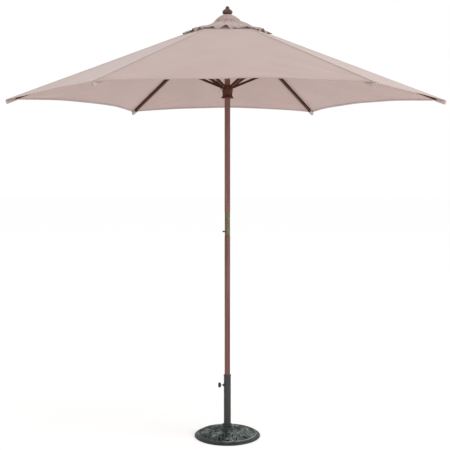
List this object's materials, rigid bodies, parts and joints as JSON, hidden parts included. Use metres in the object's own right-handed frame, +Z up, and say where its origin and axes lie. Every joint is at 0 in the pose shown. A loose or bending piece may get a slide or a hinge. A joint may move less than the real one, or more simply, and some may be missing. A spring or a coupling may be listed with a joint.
{
  "type": "patio umbrella with base",
  "caption": "Folding patio umbrella with hexagonal vented fabric canopy, wooden ribs and struts, two-piece wooden pole and a round openwork cast base with a clamping tube.",
  "frame": {"origin": "centre of the base's underside, where it rests on the ground", "axes": "+Z up the pole, +X along the first rib; the clamp knob and thumb screw point along -X"},
  "size_m": [2.7048, 2.3518, 2.663],
  "materials": {
    "cast_iron": "painted, worn verdigris green over black",
    "tube_enamel": "satin green-black enamel",
    "steel": "zinc plated",
    "bright_steel": "nickel plated",
    "dark_steel": "black phosphate",
    "bush_plastic": "moulded, matte",
    "knob_plastic": "moulded, matte",
    "pole_wood": "cherry stain, satin varnish",
    "hub_wood": "cherry stain, satin varnish",
    "finial_wood": "cherry stain, gloss varnish",
    "rib_wood": "dark cherry stain, satin varnish",
    "brass": "aged brass, brushed round",
    "dark_brass": "blackened brass, knurled",
    "canopy_fabric": "beige woven polyester",
    "pocket_fabric": "lighter beige webbing"
  },
  "bodies": {
    "base": {"base_casting": "cast_iron", "base_tube": "tube_enamel", "tube_plug": "steel", "tube_bush": "bush_plastic", "base_bolt": "steel", "base_washer": "steel", "clamp_boss": "tube_enamel"},
    "clamp_screw": {"clamp_screw": "bright_steel"},
    "clamp_knob": {"clamp_knob": "knob_plastic"},
    "lower_pole": {"lower_pole": "pole_wood"},
    "upper_pole": {"upper_pole": "pole_wood", "brass_sleeve": "brass", "sleeve_pins": "brass", "top_hub": "hub_wood", "hub_pins": "steel", "finial": "finial_wood", "finial_stud": "steel", "crown_washer": "brass", "vent_crown": "canopy_fabric"},
    "thumb_screw": {"thumb_screw": "dark_brass"},
    "runner": {"runner": "hub_wood", "runner_pins": "steel"},
    "lock_pin": {"lock_pin": "bright_steel"},
    "lock_ring": {"lock_ring": "bright_steel"},
    "rib_1": {"rib_1": "rib_wood", "rib_bracket_1": "dark_steel", "canopy_1": "canopy_fabric", "vent_flap_1": "canopy_fabric", "tip_pocket_1": "pocket_fabric"},
    "strut_1": {"strut_1": "rib_wood"},
    "rib_2": {"rib_2": "rib_wood", "rib_bracket_2": "dark_steel", "canopy_2": "canopy_fabric", "vent_flap_2": "canopy_fabric", "tip_pocket_2": "pocket_fabric"},
    "strut_2": {"strut_2": "rib_wood"},
    "rib_3": {"rib_3": "rib_wood", "rib_bracket_3": "dark_steel", "canopy_3": "canopy_fabric", "vent_flap_3": "canopy_fabric", "tip_pocket_3": "pocket_fabric"},
    "strut_3": {"strut_3": "rib_wood"},
    "rib_4": {"rib_4": "rib_wood", "rib_bracket_4": "dark_steel", "canopy_4": "canopy_fabric", "vent_flap_4": "canopy_fabric", "tip_pocket_4": "pocket_fabric"},
    "strut_4": {"strut_4": "rib_wood"},
    "rib_5": {"rib_5": "rib_wood", "rib_bracket_5": "dark_steel", "canopy_5": "canopy_fabric", "vent_flap_5": "canopy_fabric", "tip_pocket_5": "pocket_fabric"},
    "strut_5": {"strut_5": "rib_wood"},
    "rib_6": {"rib_6": "rib_wood", "rib_bracket_6": "dark_steel", "canopy_6": "canopy_fabric", "vent_flap_6": "canopy_fabric", "tip_pocket_6": "pocket_fabric"},
    "strut_6": {"strut_6": "rib_wood"}
  },
  "joints": [
    {"name": "lower_pole_lift", "type": "slide", "parent": "base", "child": "lower_pole", "axis": [0, 0, 1], "range_m": [0, 0.3]},
    {"name": "upper_pole_lift", "type": "slide", "parent": "lower_pole", "child": "upper_pole", "axis": [0, 0, 1], "range_m": [0, 0.08]},
    {"name": "canopy_fold", "type": "hinge", "parent": "upper_pole", "child": "rib_1", "pos_m": [0.029, 0, 2.56659], "axis": [0, 1, 0], "range_deg": [0, 66.5], "deforming": ["canopy_1", "vent_flap_1"]},
    {"name": "rib_2_hinge", "type": "hinge", "parent": "upper_pole", "child": "rib_2", "pos_m": [0.0145, 0.02511, 2.56659], "axis": [-0.866, 0.5, 0], "range_deg": [0, 66.5], "deforming": ["canopy_2", "vent_flap_2"]},
    {"name": "rib_3_hinge", "type": "hinge", "parent": "upper_pole", "child": "rib_3", "pos_m": [-0.0145, 0.02511, 2.56659], "axis": [-0.866, -0.5, 0], "range_deg": [0, 66.5], "deforming": ["canopy_3", "vent_flap_3"]},
    {"name": "rib_4_hinge", "type": "hinge", "parent": "upper_pole", "child": "rib_4", "pos_m": [-0.029, 0, 2.56659], "axis": [0, -1, 0], "range_deg": [0, 66.5], "deforming": ["canopy_4", "vent_flap_4"]},
    {"name": "rib_5_hinge", "type": "hinge", "parent": "upper_pole", "child": "rib_5", "pos_m": [-0.0145, -0.02511, 2.56659], "axis": [0.866, -0.5, 0], "range_deg": [0, 66.5], "deforming": ["canopy_5", "vent_flap_5"]},
    {"name": "rib_6_hinge", "type": "hinge", "parent": "upper_pole", "child": "rib_6", "pos_m": [0.0145, -0.02511, 2.56659], "axis": [0.866, 0.5, 0], "range_deg": [0, 66.5], "deforming": ["canopy_6", "vent_flap_6"]},
    {"name": "strut_1_hinge", "type": "hinge", "parent": "rib_1", "child": "strut_1", "pos_m": [0.51584, 0, 2.36926], "axis": [0, 1, 0], "range_deg": [-133, 0]},
    {"name": "strut_2_hinge", "type": "hinge", "parent": "rib_2", "child": "strut_2", "pos_m": [0.25792, 0.44673, 2.36926], "axis": [-0.866, 0.5, 0], "range_deg": [-133, 0]},
    {"name": "strut_3_hinge", "type": "hinge", "parent": "rib_3", "child": "strut_3", "pos_m": [-0.25792, 0.44673, 2.36926], "axis": [-0.866, -0.5, 0], "range_deg": [-133, 0]},
    {"name": "strut_4_hinge", "type": "hinge", "parent": "rib_4", "child": "strut_4", "pos_m": [-0.51584, 0, 2.36926], "axis": [0, -1, 0], "range_deg": [-133, 0]},
    {"name": "strut_5_hinge", "type": "hinge", "parent": "rib_5", "child": "strut_5", "pos_m": [-0.25792, -0.44673, 2.36926], "axis": [0.866, -0.5, 0], "range_deg": [-133, 0]},
    {"name": "strut_6_hinge", "type": "hinge", "parent": "rib_6", "child": "strut_6", "pos_m": [0.25792, -0.44673, 2.36926], "axis": [0.866, 0.5, 0], "range_deg": [-133, 0]},
    {"name": "runner_hinge", "type": "hinge", "parent": "strut_1", "child": "runner", "pos_m": [0.029, 0, 2.17194], "axis": [0, 1, 0], "range_deg": [0, 66.5]},
    {"name": "lock_pin_push", "type": "slide", "parent": "runner", "child": "lock_pin", "axis": [0.866, 0.5, 0], "range_m": [0, 0.011]},
    {"name": "lock_ring_swing", "type": "hinge", "parent": "lock_pin", "child": "lock_ring", "pos_m": [-0.0459, -0.0265, 2.15994], "axis": [-0.5, 0.866, 0], "range_deg": [0, 80]},
    {"name": "clamp_screw_travel", "type": "slide", "parent": "base", "child": "clamp_screw", "axis": [-1, 0, 0], "range_m": [0, 0.0025]},
    {"name": "clamp_knob_turn", "type": "hinge", "parent": "clamp_screw", "child": "clamp_knob", "pos_m": [-0.048, 0, 0.322], "axis": [-1, 0, 0], "range_deg": [0, 720]},
    {"name": "thumb_screw_turn", "type": "hinge", "parent": "upper_pole", "child": "thumb_screw", "pos_m": [-0.0254, 0, 1.289], "axis": [-1, 0, 0], "range_deg": [0, 360]}
  ],
  "couplings": [
    {"joint": "rib_2_hinge", "follows": "canopy_fold", "ratio": 1},
    {"joint": "rib_3_hinge", "follows": "canopy_fold", "ratio": 1},
    {"joint": "rib_4_hinge", "follows": "canopy_fold", "ratio": 1},
    {"joint": "rib_5_hinge", "follows": "canopy_fold", "ratio": 1},
    {"joint": "rib_6_hinge", "follows": "canopy_fold", "ratio": 1},
    {"joint": "strut_1_hinge", "follows": "canopy_fold", "ratio": -2},
    {"joint": "strut_2_hinge", "follows": "canopy_fold", "ratio": -2},
    {"joint": "strut_3_hinge", "follows": "canopy_fold", "ratio": -2},
    {"joint": "strut_4_hinge", "follows": "canopy_fold", "ratio": -2},
    {"joint": "strut_5_hinge", "follows": "canopy_fold", "ratio": -2},
    {"joint": "strut_6_hinge", "follows": "canopy_fold", "ratio": -2},
    {"joint": "runner_hinge", "follows": "canopy_fold", "ratio": 1},
    {"joint": "clamp_screw_travel", "follows": "clamp_knob_turn", "m_per_rad": 0.00019894}
  ]
}
